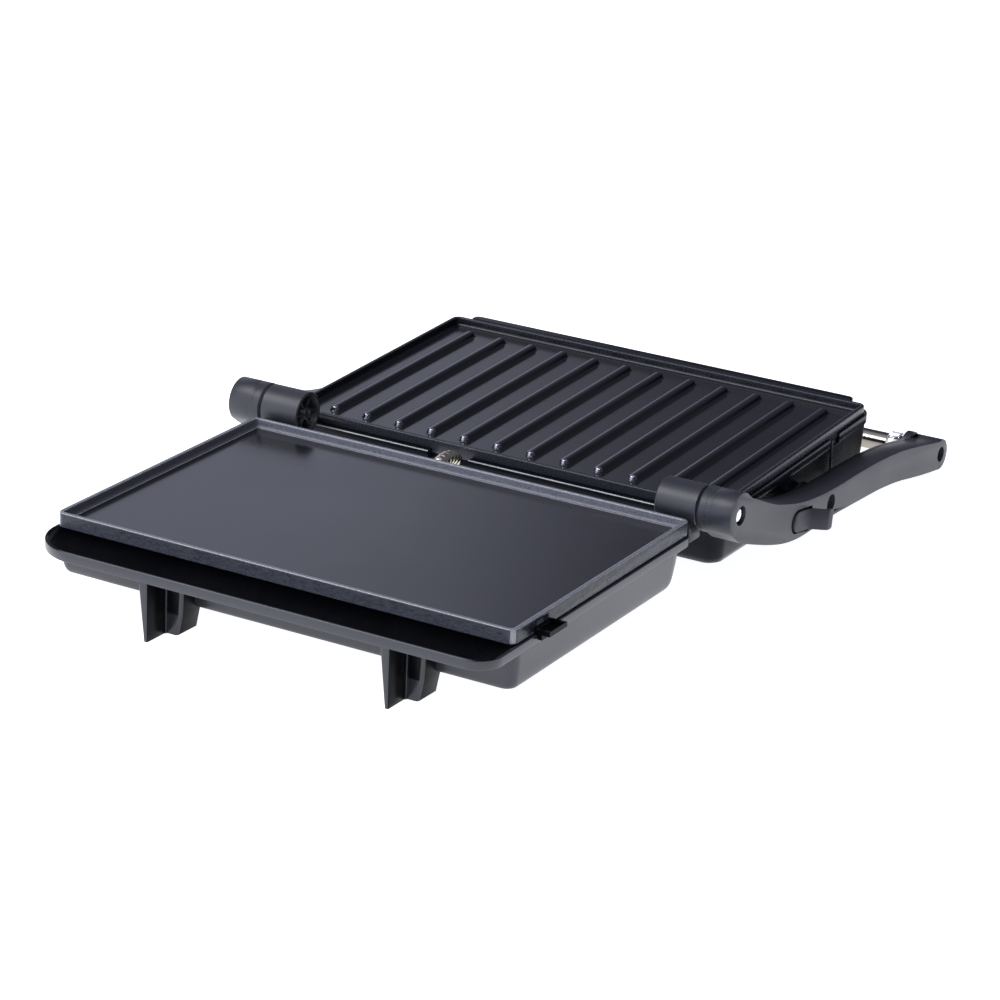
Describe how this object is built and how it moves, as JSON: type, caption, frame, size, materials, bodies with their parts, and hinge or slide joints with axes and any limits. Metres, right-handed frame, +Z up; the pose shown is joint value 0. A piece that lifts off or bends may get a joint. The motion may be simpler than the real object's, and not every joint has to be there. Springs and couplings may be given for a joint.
{
  "type": "panini press",
  "caption": "Contact grill opened out flat: a base plate with a front ledge, a ribbed lid plate on two long curved arms, a tube handle and a release lever on one arm.",
  "frame": {"origin": "on the table, under the middle of the bounding box", "axes": "+X to the right along the hinge, +Y from the base towards the handle, +Z up"},
  "size_m": [0.3366, 0.5208, 0.0646],
  "materials": {
    "shell_grey": "satin charcoal moulding, glossy black on the ledge",
    "cast_plate": "die-cast plate with a dark non-stick coating",
    "heater_sheath": "dull steel sheath",
    "sheet_steel": "bright rolled sheet",
    "ceramic_cream": "cream heat-proof moulding",
    "bright_steel": "plain steel",
    "dark_steel": "dark phosphated steel",
    "black_plastic": "black moulding, fine grain",
    "gloss_black": "glossy black moulding",
    "foot_rubber": "matte black rubber",
    "hinge_grey": "satin charcoal moulding",
    "chrome_flex": "polished flexible conduit",
    "arm_grey": "satin dark grey moulding",
    "tube_steel": "satin stainless tube",
    "aluminium_plug": "turned plug",
    "chrome_collar": "knurled and plated",
    "lid_black": "satin near-black moulding",
    "bushing_plastic": "natural nylon",
    "lamp_red": "clear red lens"
  },
  "bodies": {
    "base": {"base_shell": "shell_grey", "base_plate": "cast_plate", "base_heater": "heater_sheath", "base_reflector": "sheet_steel", "thermostat": "ceramic_cream", "base_fuse": "bright_steel", "base_screws": "dark_steel", "terminal_block": "ceramic_cream", "cord_inlet": "black_plastic", "drip_spout": "gloss_black", "rear_feet": "foot_rubber", "base_hinge_left": "hinge_grey", "base_hinge_right": "hinge_grey", "hinge_pins": "bright_steel", "conduit": "chrome_flex"},
    "arms": {"arm_left": "arm_grey", "arm_right": "arm_grey", "arm_cover_left": "black_plastic", "arm_cover_right": "black_plastic", "handle_tube": "tube_steel", "tube_plugs": "aluminium_plug", "handle_collars": "chrome_collar", "handle_screws": "dark_steel", "pivot_bolts": "bright_steel", "lever_pin": "bright_steel", "lever_spring": "bright_steel"},
    "lever": {"release_lever": "arm_grey"},
    "lid": {"lid_shell": "lid_black", "lid_plate": "cast_plate", "lid_heater": "heater_sheath", "lid_reflector": "sheet_steel", "lid_fuse": "bright_steel", "lid_screws": "dark_steel", "lid_bushings": "bushing_plastic", "lamp_lenses": "lamp_red"}
  },
  "joints": [
    {"name": "arm_hinge", "type": "hinge", "parent": "base", "child": "arms", "pos_m": [-0.00475, -0.025, 0.0517], "axis": [1, 0, 0], "range_deg": [0, 179]},
    {"name": "lid_float", "type": "hinge", "parent": "arms", "child": "lid", "pos_m": [-0.00475, 0.09315, 0.0244], "axis": [1, 0, 0], "range_deg": [-2.5, 1.5]},
    {"name": "lever_rock", "type": "hinge", "parent": "arms", "child": "lever", "pos_m": [0.15535, 0.05935, 0.02457], "axis": [0, 0.1438, 0.9896], "range_deg": [0, 10], "stiffness_Nm_per_rad": 0.1}
  ]
}
